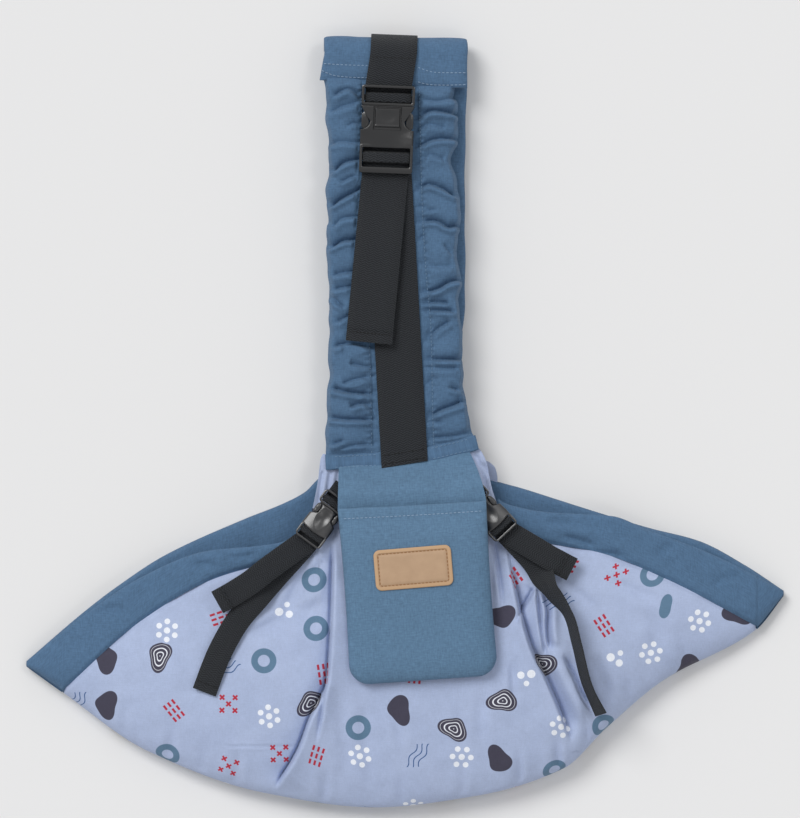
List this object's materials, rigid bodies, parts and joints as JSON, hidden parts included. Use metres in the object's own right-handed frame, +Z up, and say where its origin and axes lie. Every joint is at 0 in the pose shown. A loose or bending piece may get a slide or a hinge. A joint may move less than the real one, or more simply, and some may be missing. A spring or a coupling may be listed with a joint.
{
  "type": "soft baby carrier",
  "caption": "Side-sling soft baby carrier laid flat: padded gathered shoulder strap with webbing and buckle, printed pouch open at both sides, phone pocket and side straps.",
  "frame": {"origin": "centre of the bounding box in plan, at floor level", "axes": "+Z up from the floor it lies on, +Y along the shoulder strap away from the pouch, +X to the right seen from above"},
  "size_m": [0.622, 0.6323, 0.0655],
  "materials": {
    "blue_cloth": "matte slate-blue cotton twill, quilted",
    "print_cloth": "lilac-blue cotton with a scattered print in charcoal, white, red and teal",
    "foam": "white foam, sealed inside the strap",
    "webbing": "black ribbed polypropylene webbing",
    "buckle": "black moulded acetal, satin to gloss",
    "leather": "tan leather patch with a stitched border"
  },
  "bodies": {
    "root": {"shoulder_pad": "blue_cloth", "shoulder_foam": "foam", "gathered_sleeve": "blue_cloth", "neck_hem_band": "blue_cloth", "top_webbing": "webbing", "lower_webbing": "webbing", "shoulder_buckle_male": "buckle", "front_panel": "print_cloth", "back_panel": "print_cloth", "front_left_rail": "blue_cloth", "front_right_rail": "blue_cloth", "back_left_rail": "blue_cloth", "back_right_rail": "blue_cloth", "pocket_back": "blue_cloth", "pocket_front": "blue_cloth", "label_patch": "leather", "left_webbing": "webbing", "left_anchor_webbing": "webbing", "left_buckle_male": "buckle", "right_webbing": "webbing", "right_anchor_webbing": "webbing", "right_buckle_male": "buckle"},
    "shoulder_female": {"shoulder_buckle_female": "buckle", "shoulder_tail": "webbing"},
    "shoulder_arm_l": {"shoulder_arm_left": "buckle"},
    "shoulder_arm_r": {"shoulder_arm_right": "buckle"},
    "shoulder_push": {"shoulder_button": "buckle"},
    "shoulder_tail_tip": {"shoulder_tail_end": "webbing"},
    "left_female": {"left_buckle_female": "buckle", "left_tail": "webbing"},
    "left_arm_u": {"left_arm_upper": "buckle"},
    "left_arm_l": {"left_arm_lower": "buckle"},
    "left_tail_tip": {"left_tail_end": "webbing"},
    "right_female": {"right_buckle_female": "buckle", "right_tail": "webbing"},
    "right_arm_u": {"right_arm_upper": "buckle"},
    "right_arm_l": {"right_arm_lower": "buckle"},
    "right_tail_tip": {"right_tail_end": "webbing"}
  },
  "joints": [
    {"name": "shoulder_release", "type": "slide", "parent": "root", "child": "shoulder_female", "axis": [-0.0384, -0.9993, 0], "range_m": [0, 0.024], "deforming": ["lower_webbing", "shoulder_tail"]},
    {"name": "shoulder_arm_l_flex", "type": "hinge", "parent": "root", "child": "shoulder_arm_l", "pos_m": [-0.03061, 0.25994, 0.0395], "axis": [0, 0, 1], "range_deg": [0, 13]},
    {"name": "shoulder_arm_r_flex", "type": "hinge", "parent": "root", "child": "shoulder_arm_r", "pos_m": [0.00296, 0.25865, 0.0395], "axis": [0, 0, 1], "range_deg": [-13, 0]},
    {"name": "shoulder_button_press", "type": "slide", "parent": "shoulder_female", "child": "shoulder_push", "axis": [0, 0, -1], "range_m": [0, 0.0012], "stiffness_N_per_m": 150},
    {"name": "shoulder_tail_pull", "type": "slide", "parent": "shoulder_female", "child": "shoulder_tail_tip", "axis": [0.0958, 0.9954, 0], "range_m": [0, 0.08]},
    {"name": "left_release", "type": "slide", "parent": "root", "child": "left_female", "axis": [-0.5878, -0.809, 0], "range_m": [0, 0.02], "deforming": ["left_webbing", "left_tail"]},
    {"name": "left_arm_u_flex", "type": "hinge", "parent": "root", "child": "left_arm_u", "pos_m": [-0.06838, -0.06663, 0.0427], "axis": [0, 0, 1], "range_deg": [0, 14]},
    {"name": "left_arm_l_flex", "type": "hinge", "parent": "root", "child": "left_arm_l", "pos_m": [-0.05479, -0.0765, 0.0427], "axis": [0, 0, 1], "range_deg": [-14, 0]},
    {"name": "right_release", "type": "slide", "parent": "root", "child": "right_female", "axis": [0.682, -0.7314, 0], "range_m": [0, 0.02], "deforming": ["right_webbing", "right_tail"]},
    {"name": "right_arm_u_flex", "type": "hinge", "parent": "root", "child": "right_arm_u", "pos_m": [0.06775, -0.06128, 0.0427], "axis": [0, 0, 1], "range_deg": [-14, 0]},
    {"name": "right_arm_l_flex", "type": "hinge", "parent": "root", "child": "right_arm_l", "pos_m": [0.05546, -0.07274, 0.0427], "axis": [0, 0, 1], "range_deg": [0, 14]},
    {"name": "left_tail_pull", "type": "slide", "parent": "left_female", "child": "left_tail_tip", "axis": [0.8419, 0.5397, 0], "range_m": [0, 0.025]},
    {"name": "right_tail_pull", "type": "slide", "parent": "right_female", "child": "right_tail_tip", "axis": [-0.8878, 0.4603, 0], "range_m": [0, 0.025]}
  ],
  "couplings": [
    {"joint": "shoulder_arm_l_flex", "follows": "shoulder_release", "rad_per_m": 9.4539},
    {"joint": "shoulder_arm_r_flex", "follows": "shoulder_release", "rad_per_m": -9.4539},
    {"joint": "left_arm_u_flex", "follows": "left_release", "rad_per_m": 12.217},
    {"joint": "left_arm_l_flex", "follows": "left_release", "rad_per_m": -12.217},
    {"joint": "right_arm_u_flex", "follows": "right_release", "rad_per_m": -12.217},
    {"joint": "right_arm_l_flex", "follows": "right_release", "rad_per_m": 12.217}
  ]
}
